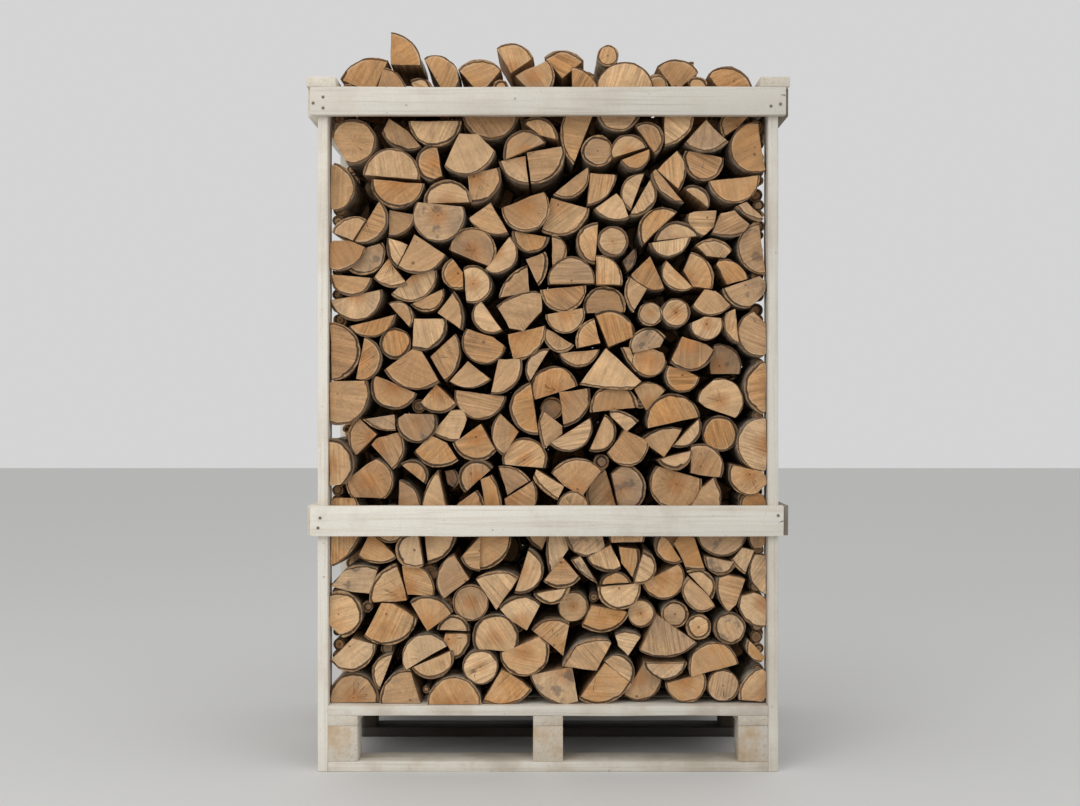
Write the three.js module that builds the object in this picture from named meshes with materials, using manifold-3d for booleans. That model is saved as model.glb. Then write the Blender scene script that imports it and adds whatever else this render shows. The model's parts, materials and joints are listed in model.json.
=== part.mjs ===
// Firewood crate: a pallet with six posts, side, front and back rails and two cap boards,
// filled with three rows of split birch logs that are heaped above the top rails.
// Millimetres: +X to the right, +Y to the back, +Z up, origin at the bottom centre.
import * as THREE from 'three';
import { mergeVertices } from 'three/addons/utils/BufferGeometryUtils.js';
import Module from 'manifold-3d';

// Sawn timber
const BOARD = 22;
const POST_WIDTH = 65;
const MID_RAIL_HEIGHT = 66;
const TOP_RAIL_HEIGHT = 61;
const CAP_WIDTH = 64;

// Pallet
const PALLET_WIDTH = 960;
const PALLET_DEPTH = 780;
const BOTTOM_BOARD_WIDTH = 88;
const BLOCK_WIDTH = 65;
const BLOCK_DEPTH = 70;
const BLOCK_HEIGHT = 78;
const DECK_BOARD_WIDTH = 100;
const DECK_BOARDS = ['1', '2', '3', '4', '5', '6', '7'];

// Crate
const POST_TOP = 1489;
const MID_RAIL_TOP = 581;
const FRONT_RAIL_LENGTH = 1032;

// Firewood
const LOG_LENGTH = 244;
const ROW_GAP = 2;
const POST_CLEARANCE = 2;
const FRONT_ROW_TOP = 1478;
const MOUND_HEIGHT = 90;
const LOG_CLEARANCE = 0.8;
const SEAT_GROWTH = 1.02;
const HEAP_HALF_WIDTH = 457;

// How much of a full round each split keeps, in degrees
const SPANS = { round: 360, half: 180, third: 120, quarter: 90 };

// The heap on the front row: the split, its centre across and up, its width across the bark's
// direction, its height along it, and that direction in degrees from +X (90 is bark up).
const HEAP_LOGS = [
  ['round', -442, 1495, 34, 30, 90],
  ['quarter', -411, 1516, 112, 78, 112],
  ['quarter', -347, 1495, 90, 72, 30],
  ['quarter', -322, 1572, 98, 64, 43],
  ['quarter', -281, 1498, 52, 50, 75],
  ['half', -223, 1530, 94, 56, 28],
  ['quarter', -150, 1521, 94, 74, 90],
  ['round', -103, 1494, 34, 36, 90],
  ['quarter', -76, 1562, 83, 66, 78],
  ['quarter', -29, 1517, 84, 88, -10],
  ['quarter', 34, 1548, 86, 62, 85],
  ['quarter', 77, 1506, 62, 75, 50],
  ['round', 133, 1565, 45, 48, 90],
  ['half', 172, 1520, 124, 74, 90],
  ['quarter', 240, 1504, 42, 50, 70],
  ['quarter', 279, 1519, 90, 72, 82],
  ['quarter', 327, 1499, 44, 46, 82],
  ['third', 400, 1506, 104, 70, 72],
];

// Levels and planes worked out from the sizes above
const BLOCK_TOP = BOARD + BLOCK_HEIGHT;
const STRINGER_TOP = BLOCK_TOP + BOARD;
const DECK_TOP = STRINGER_TOP + BOARD;
const HALF_WIDTH = PALLET_WIDTH / 2;
const HALF_DEPTH = PALLET_DEPTH / 2;
const POST_X = HALF_WIDTH + BOARD / 2;
const POST_Y = HALF_DEPTH - POST_WIDTH / 2;
const SIDE_RAIL_X = POST_X + BOARD;
const FRONT_RAIL_Y = HALF_DEPTH + BOARD / 2;
const OUTER_HALF_WIDTH = SIDE_RAIL_X + BOARD / 2;
const OUTER_HALF_DEPTH = HALF_DEPTH + BOARD;
const ROW_PITCH = LOG_LENGTH + ROW_GAP;

const palePine = { color: 0xcfc8ba, roughness: 0.8, metalness: 0 };
const orangePine = { color: 0xc4ab8b, roughness: 0.85, metalness: 0 };
const birch = { color: 0xb3875a, roughness: 0.85, metalness: 0 };

const crate = new THREE.Group();

function addMesh(name, geometry, look, x, y, z) {
  const mesh = new THREE.Mesh(geometry, new THREE.MeshStandardMaterial(look));
  mesh.name = name;
  mesh.position.set(x, y, z);
  crate.add(mesh);
  return mesh;
}

// A sawn board: its size, and the middle of its underside.
function addBoard(name, [width, depth, height], [x, y, bottom], look = palePine) {
  return addMesh(name, new THREE.BoxGeometry(width, depth, height), look, x, y, bottom + height / 2);
}

const ROWS_IN_DEPTH = { front: -1, middle: 0, back: 1 };
const SIDES = { left: -1, right: 1 };

function addPallet() {
  const columns = { left: -1, middle: 0, right: 1 };
  const columnX = (HALF_WIDTH - BLOCK_WIDTH / 2);
  const boardY = HALF_DEPTH - BOTTOM_BOARD_WIDTH / 2;
  const blockY = HALF_DEPTH - BLOCK_DEPTH / 2;
  for (const [place, row] of Object.entries(ROWS_IN_DEPTH)) {
    addBoard(`bottom_board_${place}`, [PALLET_WIDTH, BOTTOM_BOARD_WIDTH, BOARD], [0, row * boardY, 0]);
    for (const [side, column] of Object.entries(columns)) {
      const size = [BLOCK_WIDTH, BLOCK_DEPTH, BLOCK_HEIGHT];
      addBoard(`block_${place}_${side}`, size, [column * columnX, row * blockY, BOARD], orangePine);
    }
  }
  for (const [side, column] of Object.entries(columns)) {
    addBoard(`stringer_${side}`, [BLOCK_WIDTH, PALLET_DEPTH, BOARD], [column * columnX, 0, BLOCK_TOP]);
  }
  const pitch = (PALLET_DEPTH - DECK_BOARD_WIDTH) / (DECK_BOARDS.length - 1);
  DECK_BOARDS.forEach((number, i) => {
    const y = -HALF_DEPTH + DECK_BOARD_WIDTH / 2 + i * pitch;
    addBoard(`deck_board_${number}`, [PALLET_WIDTH, DECK_BOARD_WIDTH, BOARD], [0, y, STRINGER_TOP]);
  });
}

function addCrate() {
  const rails = { mid: [MID_RAIL_HEIGHT, MID_RAIL_TOP], top: [TOP_RAIL_HEIGHT, POST_TOP] };
  for (const [side, sign] of Object.entries(SIDES)) {
    for (const [place, row] of Object.entries(ROWS_IN_DEPTH)) {
      addBoard(`post_${place}_${side}`, [BOARD, POST_WIDTH, POST_TOP], [sign * POST_X, row * POST_Y, 0]);
    }
    for (const [level, [height, top]] of Object.entries(rails)) {
      const place = [sign * SIDE_RAIL_X, 0, top - height];
      addBoard(`rail_${level}_${side}`, [BOARD, PALLET_DEPTH, height], place);
    }
    const capX = sign * (OUTER_HALF_WIDTH - CAP_WIDTH / 2);
    addBoard(`cap_${side}`, [CAP_WIDTH, 2 * OUTER_HALF_DEPTH, BOARD], [capX, 0, POST_TOP]);
  }
  for (const [end, sign] of Object.entries({ front: -1, back: 1 })) {
    for (const [level, [height, top]] of Object.entries(rails)) {
      const place = [0, sign * FRONT_RAIL_Y, top - height];
      addBoard(`rail_${level}_${end}`, [FRONT_RAIL_LENGTH, BOARD, height], place);
    }
  }
}

// The cross-section of a split log in a box of side 1 about the origin, bark upwards: a full
// round, or a sector with its point at the heart.
function splitOutline(span) {
  const steps = Math.max(6, Math.round(span / 20));
  const points = span < 180 ? [new THREE.Vector2(0, 0)] : [];
  const last = span === 360 ? steps - 1 : steps;
  for (let i = 0; i <= last; i += 1) {
    const angle = THREE.MathUtils.degToRad(90 - span / 2 + (span * i) / steps);
    points.push(new THREE.Vector2(Math.cos(angle), Math.sin(angle)));
  }
  const box = new THREE.Box2().setFromPoints(points);
  const size = box.getSize(new THREE.Vector2());
  const centre = box.getCenter(new THREE.Vector2());
  return points.map((point) => point.clone().sub(centre).divide(size));
}

function placedOutline(log) {
  const middle = new THREE.Vector2();
  return splitOutline(SPANS[log.split]).map((point) => {
    const scaled = new THREE.Vector2(point.x * log.width, point.y * log.height);
    return scaled.rotateAround(middle, log.turn).add(log.centre);
  });
}

// The shortest move that takes outline a clear of outline b, or null if they are clear.
function moveApart(a, b, towards) {
  let shortest = null;
  for (const outline of [a, b]) {
    for (let i = 0; i < outline.length; i += 1) {
      const edge = outline[(i + 1) % outline.length].clone().sub(outline[i]);
      const normal = new THREE.Vector2(edge.y, -edge.x).normalize();
      if (normal.dot(towards) < 0) {
        normal.negate();
      }
      const reachOfB = Math.max(...b.map((point) => point.dot(normal)));
      const startOfA = Math.min(...a.map((point) => point.dot(normal)));
      const depth = reachOfB - startOfA + LOG_CLEARANCE;
      if (depth <= 0) {
        return null;
      }
      if (shortest === null || depth < shortest.depth) {
        shortest = { depth, normal };
      }
    }
  }
  return shortest.normal.multiplyScalar(shortest.depth);
}

// Nudges the heap's logs apart until no two of them touch.
function settle(logs) {
  const rounds = 400;
  for (let round = 0; round < rounds; round += 1) {
    let moved = false;
    logs.forEach((a, i) => {
      logs.slice(i + 1).forEach((b) => {
        const towards = a.centre.clone().sub(b.centre);
        const move = moveApart(placedOutline(a), placedOutline(b), towards);
        if (move) {
          a.centre.addScaledVector(move, 0.5);
          b.centre.addScaledVector(move, -0.5);
          moved = true;
        }
      });
      const reach = HEAP_HALF_WIDTH - Math.max(...placedOutline(a).map((p) => Math.abs(p.x)));
      if (reach < 0) {
        a.centre.x -= Math.sign(a.centre.x) * -reach;
        moved = true;
      }
    });
    if (!moved) {
      return;
    }
  }
}

// A log with its front end at y = 0, lying along +Y.
function logGeometry(log, growth) {
  const points = splitOutline(SPANS[log.split]).map(
    (point) => new THREE.Vector2(point.x * log.width, point.y * log.height).multiplyScalar(growth),
  );
  const geometry = new THREE.ExtrudeGeometry(new THREE.Shape(points), {
    depth: LOG_LENGTH * growth,
    bevelEnabled: false,
  });
  geometry.rotateX(Math.PI / 2);
  geometry.translate(0, (LOG_LENGTH * (1 + growth)) / 2, 0);
  return geometry;
}

const wasm = await Module();
wasm.setup();

function toSolid(geometry) {
  const bare = geometry.clone();
  bare.deleteAttribute('normal');
  bare.deleteAttribute('uv');
  const merged = mergeVertices(bare);
  const mesh = new wasm.Mesh({
    numProp: 3,
    vertProperties: merged.attributes.position.array,
    triVerts: new Uint32Array(merged.index.array),
  });
  return new wasm.Manifold(mesh);
}

function toGeometry(solid) {
  const mesh = solid.getMesh();
  const geometry = new THREE.BufferGeometry();
  geometry.setAttribute('position', new THREE.BufferAttribute(mesh.vertProperties, 3));
  geometry.setIndex(new THREE.BufferAttribute(mesh.triVerts, 1));
  geometry.computeVertexNormals();
  return geometry;
}

// The front row is one block up to the heap, hollowed where each of the heap's logs sits.
function addFrontRow() {
  const front = -1.5 * LOG_LENGTH - ROW_GAP;
  const logs = HEAP_LOGS.map(([split, x, z, width, height, bark]) => ({
    split,
    width,
    height,
    centre: new THREE.Vector2(x, z),
    turn: THREE.MathUtils.degToRad(bark - 90),
  }));
  settle(logs);
  const rowHeight = FRONT_ROW_TOP - DECK_TOP;
  const block = new THREE.BoxGeometry(PALLET_WIDTH - 2 * POST_CLEARANCE, LOG_LENGTH, rowHeight);
  block.translate(0, front + LOG_LENGTH / 2, DECK_TOP + rowHeight / 2);
  let row = toSolid(block);
  logs.forEach((log, i) => {
    const name = `heap_log_${String(i + 1).padStart(2, '0')}`;
    const mesh = addMesh(name, logGeometry(log, 1), birch, log.centre.x, front, log.centre.y);
    mesh.rotation.y = -log.turn;
    mesh.updateMatrixWorld();
    const seat = logGeometry(log, SEAT_GROWTH).applyMatrix4(mesh.matrixWorld);
    row = row.subtract(toSolid(seat));
  });
  addMesh('log_row_front', toGeometry(row), birch, 0, 0, 0);
}

// The middle and back rows are blocks whose tops follow the mound of the heap.
function addMoundedRow(name, front) {
  const half = HALF_WIDTH - POST_CLEARANCE;
  const steps = 24;
  const points = [new THREE.Vector2(-half, DECK_TOP), new THREE.Vector2(half, DECK_TOP)];
  points.push(new THREE.Vector2(half, FRONT_ROW_TOP));
  for (let i = 0; i <= steps; i += 1) {
    const angle = (Math.PI * i) / steps;
    const rise = MOUND_HEIGHT * Math.sin(angle);
    points.push(new THREE.Vector2(HEAP_HALF_WIDTH * Math.cos(angle), FRONT_ROW_TOP + rise));
  }
  points.push(new THREE.Vector2(-half, FRONT_ROW_TOP));
  const geometry = new THREE.ExtrudeGeometry(new THREE.Shape(points), {
    depth: LOG_LENGTH,
    bevelEnabled: false,
  });
  geometry.rotateX(Math.PI / 2);
  addMesh(name, geometry, birch, 0, front + LOG_LENGTH, 0);
}

addPallet();
addCrate();
addFrontRow();
addMoundedRow('log_row_middle', -LOG_LENGTH / 2);
addMoundedRow('log_row_back', -LOG_LENGTH / 2 + ROW_PITCH);

export default crate;
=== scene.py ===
"""A tall open pallet crate packed with split birch firewood.

Metres, one shared frame: x across the front, y away from the viewer, z up.
"""

import json
import math
import random

import bpy
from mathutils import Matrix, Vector
from mathutils.bvhtree import BVHTree

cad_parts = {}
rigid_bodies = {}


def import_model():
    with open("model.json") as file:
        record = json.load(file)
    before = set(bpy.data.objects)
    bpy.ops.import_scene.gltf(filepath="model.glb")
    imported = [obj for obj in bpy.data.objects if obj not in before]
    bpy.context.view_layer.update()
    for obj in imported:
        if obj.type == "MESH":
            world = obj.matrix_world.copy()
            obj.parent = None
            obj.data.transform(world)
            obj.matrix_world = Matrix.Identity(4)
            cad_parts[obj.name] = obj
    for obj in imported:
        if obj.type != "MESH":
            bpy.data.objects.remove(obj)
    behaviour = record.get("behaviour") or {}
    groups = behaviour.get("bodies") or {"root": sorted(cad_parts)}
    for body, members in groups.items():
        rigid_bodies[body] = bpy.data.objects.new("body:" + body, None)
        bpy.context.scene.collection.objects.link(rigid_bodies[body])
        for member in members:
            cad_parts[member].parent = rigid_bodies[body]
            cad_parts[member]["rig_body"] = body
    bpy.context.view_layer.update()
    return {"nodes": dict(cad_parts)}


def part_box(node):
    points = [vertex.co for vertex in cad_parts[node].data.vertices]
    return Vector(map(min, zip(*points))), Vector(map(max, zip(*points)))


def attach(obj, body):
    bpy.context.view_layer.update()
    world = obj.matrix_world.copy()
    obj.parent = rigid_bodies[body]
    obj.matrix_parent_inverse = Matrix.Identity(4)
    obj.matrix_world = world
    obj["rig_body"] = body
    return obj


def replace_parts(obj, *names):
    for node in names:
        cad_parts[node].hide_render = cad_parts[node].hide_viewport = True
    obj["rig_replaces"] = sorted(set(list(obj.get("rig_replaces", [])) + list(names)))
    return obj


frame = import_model()
rng = random.Random(41)


# ---------------------------------------------------------------- hand tools


def pick(*objects):
    bpy.ops.object.select_all(action="DESELECT")
    for thing in objects:
        thing.select_set(True)
    bpy.context.view_layer.objects.active = objects[0]


def settle(thing, name):
    """Writes the place, turn and size of a new piece into its own mesh."""
    thing.name = name
    thing.data.name = name
    bpy.ops.object.transform_apply(location=True, rotation=True, scale=True)
    return thing


def edit():
    bpy.ops.object.mode_set(mode="EDIT")
    bpy.ops.mesh.select_all(action="SELECT")


def done():
    bpy.ops.object.mode_set(mode="OBJECT")


def saw(at, outward, clear=True, fill=True):
    """One flat cut through everything that is selected."""
    bpy.ops.mesh.bisect(
        plane_co=at,
        plane_no=outward,
        use_fill=fill,
        clear_outer=clear,
    )


def cloud(name, size, depth=1):
    texture = bpy.data.textures.new(name, "CLOUDS")
    texture.noise_scale = size
    texture.noise_depth = depth
    return texture


def roughen(texture, amount):
    """Makes the picked piece a little uneven."""
    bpy.ops.object.modifier_add(type="DISPLACE")
    change = bpy.context.object.modifiers[-1]
    change.texture = texture
    change.texture_coords = "GLOBAL"
    change.strength = amount
    change.mid_level = 0.5
    bpy.ops.object.modifier_apply(modifier=change.name)


def ease(width, segments=2):
    """Takes the sharpness off every edge of the picked piece."""
    bpy.ops.object.modifier_add(type="BEVEL")
    change = bpy.context.object.modifiers[-1]
    change.width = width
    change.segments = segments
    change.limit_method = "ANGLE"
    change.angle_limit = math.radians(40)
    bpy.ops.object.modifier_apply(modifier=change.name)


def mark(thing, name, kind, values):
    """Keeps one value for each vertex, for the material to read."""
    layer = thing.data.attributes.new(name, kind, "POINT")
    for slot, value in zip(layer.data, values):
        if kind == "FLOAT":
            slot.value = value
        elif kind == "FLOAT_VECTOR":
            slot.vector = value
        else:
            slot.color = value


# ---------------------------------------------------------------- materials


class Finish:
    """A material made node by node."""

    def __init__(self, name):
        self.material = bpy.data.materials.new(name)
        self.material.use_nodes = True
        self.tree = self.material.node_tree
        self.shader = self.tree.nodes["Principled BSDF"]

    def node(self, kind, *values, **settings):
        made = self.tree.nodes.new("ShaderNode" + kind)
        for key, value in settings.items():
            setattr(made, key, value)
        for socket, value in enumerate(values):
            self.give(made.inputs[socket], value)
        return made

    def give(self, socket, value):
        if value is None:
            return
        if isinstance(value, bpy.types.NodeSocket):
            self.tree.links.new(value, socket)
        else:
            socket.default_value = value

    def attribute(self, name):
        return self.node("Attribute", attribute_name=name)

    def sum(self, operation, *values, clamp=False):
        made = self.node("Math", *values, operation=operation, use_clamp=clamp)
        return made.outputs[0]

    def vector(self, operation, *values):
        return self.node("VectorMath", *values, operation=operation).outputs[0]

    def join(self, x, y, z):
        return self.node("CombineXYZ", x, y, z).outputs[0]

    def split(self, value):
        return self.node("SeparateXYZ", value).outputs

    def noise(self, place, scale, detail=2.0, rough=0.5, warp=0.0):
        made = self.node("TexNoise")
        self.give(made.inputs["Vector"], place)
        made.inputs["Scale"].default_value = scale
        made.inputs["Detail"].default_value = detail
        made.inputs["Roughness"].default_value = rough
        made.inputs["Distortion"].default_value = warp
        return made.outputs["Fac"]

    def between(self, value, low, high, to_low=0.0, to_high=1.0):
        made = self.node("MapRange", interpolation_type="SMOOTHSTEP")
        for socket, entry in enumerate((value, low, high, to_low, to_high)):
            self.give(made.inputs[socket], entry)
        return made.outputs[0]

    def blend(self, share, first, second, how="MIX"):
        made = self.node("Mix", data_type="RGBA", blend_type=how)
        self.give(made.inputs[0], share)
        self.give(made.inputs[6], first)
        self.give(made.inputs[7], second)
        return made.outputs[2]

    def colours(self, share, *stops):
        made = self.node("ValToRGB", share)
        ramp = made.color_ramp
        while len(ramp.elements) < len(stops):
            ramp.elements.new(0.5)
        for element, (place, colour) in zip(ramp.elements, stops):
            element.position = place
            element.color = colour
        return made.outputs[0]

    def finish(self, colour, roughness, height=None, depth=0.0):
        self.give(self.shader.inputs["Base Color"], colour)
        self.give(self.shader.inputs["Roughness"], roughness)
        self.shader.inputs["Specular IOR Level"].default_value = 0.25
        if height is None:
            return self.material
        bump = self.node("Bump")
        bump.inputs["Strength"].default_value = 1.0
        bump.inputs["Distance"].default_value = depth
        self.give(bump.inputs["Height"], height)
        self.give(self.shader.inputs["Normal"], bump.outputs[0])
        return self.material


def shade(red, green, blue):
    """A colour from the usual 0-255 values."""
    return tuple((value / 255.0) ** 2.2 for value in (red, green, blue)) + (1.0,)


def sawn_end():
    """The cut end of a log: rings, saw marks, cracks, knots, stains, and the bark's rim."""
    m = Finish("sawn_end")
    heart = m.split(m.attribute("heart").outputs["Vector"])
    tone = m.attribute("tone")
    pale, orange, grey = m.split(tone.outputs["Vector"])
    seed = tone.outputs["Alpha"]
    ring = m.attribute("ring").outputs["Fac"]
    far = m.sum("MULTIPLY", seed, 37.0)
    here = m.join(heart[0], heart[1], far)
    wobble = m.sum("MULTIPLY_ADD", m.noise(here, 30.0, 3.0), 0.009, -0.0045)
    across = m.vector("MULTIPLY", here, (1.0, 1.0, 0.0))
    reach = m.node("VectorMath", across, operation="LENGTH").outputs["Value"]
    reach = m.sum("ADD", reach, wobble)
    depth = m.sum("SUBTRACT", ring, reach)
    # fine saw marks, turned differently on every log
    turn = m.sum("MULTIPLY", seed, 19.0)
    cosine = m.sum("COSINE", turn)
    sine = m.sum("SINE", turn)
    along = m.sum(
        "ADD",
        m.sum("MULTIPLY", heart[0], cosine),
        m.sum("MULTIPLY", heart[1], sine),
    )
    over = m.sum(
        "SUBTRACT",
        m.sum("MULTIPLY", heart[1], cosine),
        m.sum("MULTIPLY", heart[0], sine),
    )
    stroke = m.join(
        m.sum("MULTIPLY", along, 260.0),
        m.sum("MULTIPLY", over, 11.0),
        far,
    )
    marks = m.noise(stroke, 1.0, 2.0, 0.6)
    wide_stroke = m.join(
        m.sum("MULTIPLY", along, 75.0),
        m.sum("MULTIPLY", over, 9.0),
        far,
    )
    bands = m.noise(wide_stroke, 1.0, 2.0, 0.5)
    # year rings
    year = m.sum("SINE", m.sum("MULTIPLY", reach, 1900.0))
    year = m.sum("MULTIPLY", year, m.between(m.noise(here, 22.0), 0.4, 0.65))
    # fine rays from the heart to the bark
    angle = m.sum("ARCTAN2", heart[1], heart[0])
    ray_place = m.join(m.sum("MULTIPLY", angle, 11.0), far, m.sum("MULTIPLY", reach, 22.0))
    rays = m.noise(ray_place, 1.0, 3.0, 0.65)
    rayed = m.between(m.sum("FRACT", m.sum("MULTIPLY", seed, 2.91)), 0.25, 0.8, 0.1, 0.9)
    rays = m.sum("MULTIPLY", m.sum("SUBTRACT", rays, 0.5), rayed)
    # colour of the wood
    blotch = m.noise(here, 17.0, 4.0, 0.6)
    fine = m.noise(here, 150.0, 4.0, 0.65)
    wood = m.blend(pale, shade(174, 130, 87), shade(224, 188, 145))
    warm = m.sum("MULTIPLY", orange, m.between(blotch, 0.35, 0.65, 0.35, 1.0))
    wood = m.blend(warm, wood, shade(184, 130, 76))
    stain = m.between(m.noise(here, 9.0, 4.0, 0.65, 0.6), 0.38, 0.66)
    dull = m.sum("MULTIPLY", grey, m.sum("MULTIPLY_ADD", stain, 0.6, 0.4))
    wood = m.blend(dull, wood, shade(146, 124, 104))
    centre = m.between(m.sum("DIVIDE", reach, ring), 0.12, 0.6, 1.0, 0.0)
    centre = m.sum("MULTIPLY", centre, m.between(m.sum("FRACT", m.sum("MULTIPLY", seed, 13.9)), 0.3, 0.8))
    wood = m.blend(m.sum("MULTIPLY", centre, 0.6), wood, shade(170, 112, 62))
    mould = m.between(m.noise(here, 36.0, 3.0), 0.56, 0.66)
    mould = m.sum("MULTIPLY", mould, m.between(grey, 0.45, 0.75, 0.0, 0.6))
    wood = m.blend(mould, wood, shade(96, 88, 82))
    dirt = m.between(blotch, 0.52, 0.78, 0.0, 0.5)
    wood = m.blend(dirt, wood, shade(132, 99, 70))
    strong = m.between(m.sum("FRACT", m.sum("MULTIPLY", seed, 5.13)), 0.1, 0.9, 0.55, 1.9)
    marks_now = m.sum("MULTIPLY", m.sum("SUBTRACT", marks, 0.5), strong)
    light = m.sum("MULTIPLY_ADD", marks_now, 0.85, 1.0)
    light = m.sum("MULTIPLY", light, m.sum("MULTIPLY_ADD", rays, 0.8, 1.0))
    light = m.sum("MULTIPLY", light, m.sum("MULTIPLY_ADD", bands, 0.55, 0.72))
    light = m.sum("MULTIPLY", light, m.sum("MULTIPLY_ADD", fine, 0.5, 0.75))
    light = m.sum("MULTIPLY", light, m.sum("MULTIPLY_ADD", blotch, 0.75, 0.62))
    light = m.sum("MULTIPLY", light, m.sum("MULTIPLY_ADD", year, 0.05, 1.0))
    wood = m.blend(1.0, wood, m.join(light, light, light), "MULTIPLY")
    # cracks run out from the heart
    ray = m.join(m.sum("MULTIPLY", angle, 3.2), far, m.sum("MULTIPLY", reach, 9.0))
    gap = m.sum("ABSOLUTE", m.sum("SUBTRACT", m.noise(ray, 1.0, 1.0), 0.5))
    crack = m.between(gap, 0.003, 0.012, 1.0, 0.0)
    inner = m.between(m.sum("DIVIDE", reach, ring), 0.45, 0.85, 1.0, 0.0)
    crack = m.sum("MULTIPLY", crack, inner)
    allowed = m.between(m.noise(here, 13.0), 0.56, 0.66)
    crack = m.sum("MULTIPLY", crack, allowed)
    wood = m.blend(m.sum("MULTIPLY", crack, 0.75), wood, shade(78, 52, 34))
    # a knot here and there
    cell = m.node("TexVoronoi", voronoi_dimensions="3D")
    m.give(cell.inputs["Vector"], here)
    cell.inputs["Scale"].default_value = 15.0
    chance = m.between(m.split(cell.outputs["Color"])[0], 0.74, 0.76)
    knot = m.between(cell.outputs["Distance"], 0.03, 0.075, 1.0, 0.0)
    knot = m.sum("MULTIPLY", knot, chance)
    pith = m.between(reach, 0.0012, 0.0036, 1.0, 0.0)
    pith = m.sum("MULTIPLY", pith, m.between(m.sum("FRACT", m.sum("MULTIPLY", seed, 6.1)), 0.4, 0.5))
    knot = m.sum("MAXIMUM", knot, pith)
    wood = m.blend(m.sum("MULTIPLY", knot, 0.7), wood, shade(92, 60, 38))
    # the bark's rim with the dark line inside it
    kind = m.sum("FRACT", m.sum("MULTIPLY", seed, 7.31))
    rim = m.sum("MULTIPLY_ADD", m.noise(here, 38.0, 3.0), 0.0075, -0.0008)
    rim = m.sum("MULTIPLY", rim, m.sum("MULTIPLY_ADD", kind, 0.95, 0.3))
    peeled = m.between(m.sum("FRACT", m.sum("MULTIPLY", seed, 9.7)), 0.5, 0.7)
    peeled = m.sum("MULTIPLY", peeled, m.between(m.noise(here, 14.0), 0.4, 0.5))
    rim = m.sum("MULTIPLY_ADD", peeled, 0.0016, rim)
    bark = m.between(m.sum("SUBTRACT", depth, rim), -0.0006, 0.0006, 1.0, 0.0)
    line = m.sum("ABSOLUTE", m.sum("SUBTRACT", m.sum("SUBTRACT", depth, rim), 0.0009))
    line = m.between(
        line,
        m.sum("MULTIPLY_ADD", peeled, 0.0008, 0.0004),
        m.sum("MULTIPLY_ADD", peeled, 0.0012, 0.0018),
        1.0,
        0.0,
    )
    bark_colour = m.colours(
        m.noise(here, 120.0, 4.0, 0.7),
        (0.3, shade(112, 84, 60)),
        (0.5, shade(163, 128, 92)),
        (0.7, shade(190, 160, 124)),
    )
    other = m.sum("FRACT", m.sum("MULTIPLY", seed, 3.77))
    bark_colour = m.blend(m.between(other, 0.3, 0.7, 0.0, 0.85), bark_colour, shade(104, 84, 66))
    # a pale line of young wood just inside the bark, darker edges, and a painted highlight along the
    # edges
    young = m.between(m.sum("SUBTRACT", depth, rim), 0.002, 0.008, 1.0, 0.0)
    young = m.sum("MULTIPLY", young, m.between(m.noise(here, 26.0), 0.4, 0.65, 0.0, 0.55))
    wood = m.blend(young, wood, shade(218, 190, 156))
    inside = m.attribute("inside").outputs["Fac"]
    edge = m.between(inside, 0.0, 0.9, 1.0, 0.0)
    edge_dark = m.between(m.noise(here, 33.0, 3.0), 0.42, 0.6, 0.0, 0.65)
    wood = m.blend(m.sum("MULTIPLY", edge, edge_dark), wood, shade(112, 82, 58))
    # painted highlight: a pale rim along the edges of the sawn end
    painted_edge_highlight = m.between(m.noise(here, 27.0, 3.0), 0.55, 0.45, 0.0, 0.5)
    painted_edge_highlight = m.sum("MULTIPLY", m.sum("MULTIPLY", edge, painted_edge_highlight), 0.6)
    wood = m.blend(painted_edge_highlight, wood, shade(222, 198, 168))
    wood = m.blend(bark, wood, bark_colour)
    line_colour = m.blend(peeled, shade(74, 47, 29), shade(34, 22, 14))
    wood = m.blend(m.sum("MULTIPLY", line, 0.88), wood, line_colour)
    height = m.sum("MULTIPLY_ADD", marks, 0.9, m.sum("MULTIPLY", fine, 0.5))
    height = m.sum("SUBTRACT", height, m.sum("MULTIPLY", crack, 2.0))
    height = m.sum("SUBTRACT", height, m.sum("MULTIPLY", line, 2.2))
    return m.finish(wood, 0.78, height, 0.0006)


def split_wood():
    """The torn side of a log, with its fibres running along it."""
    m = Finish("split_wood")
    place = m.split(m.node("TexCoord").outputs["Object"])
    tone = m.attribute("tone")
    pale, orange, grey = m.split(tone.outputs["Vector"])
    seed = m.sum("MULTIPLY", tone.outputs["Alpha"], 11.0)
    fibre = m.join(
        m.sum("MULTIPLY", place[0], 170.0),
        m.sum("MULTIPLY_ADD", place[1], 7.0, seed),
        m.sum("MULTIPLY", place[2], 170.0),
    )
    strands = m.noise(fibre, 1.0, 4.0, 0.6, 0.3)
    patch = m.noise(m.join(*place), 19.0, 3.0)
    wood = m.colours(
        strands,
        (0.3, shade(100, 73, 50)),
        (0.48, shade(148, 113, 80)),
        (0.7, shade(184, 150, 112)),
    )
    wood = m.blend(m.sum("MULTIPLY", pale, 0.4), wood, shade(208, 172, 130))
    wood = m.blend(m.sum("MULTIPLY", grey, 0.5), wood, shade(128, 108, 90))
    wood = m.blend(m.between(patch, 0.5, 0.75, 0.0, 0.4), wood, shade(110, 78, 52))
    return m.finish(wood, 0.78, strands, 0.0016)


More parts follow.
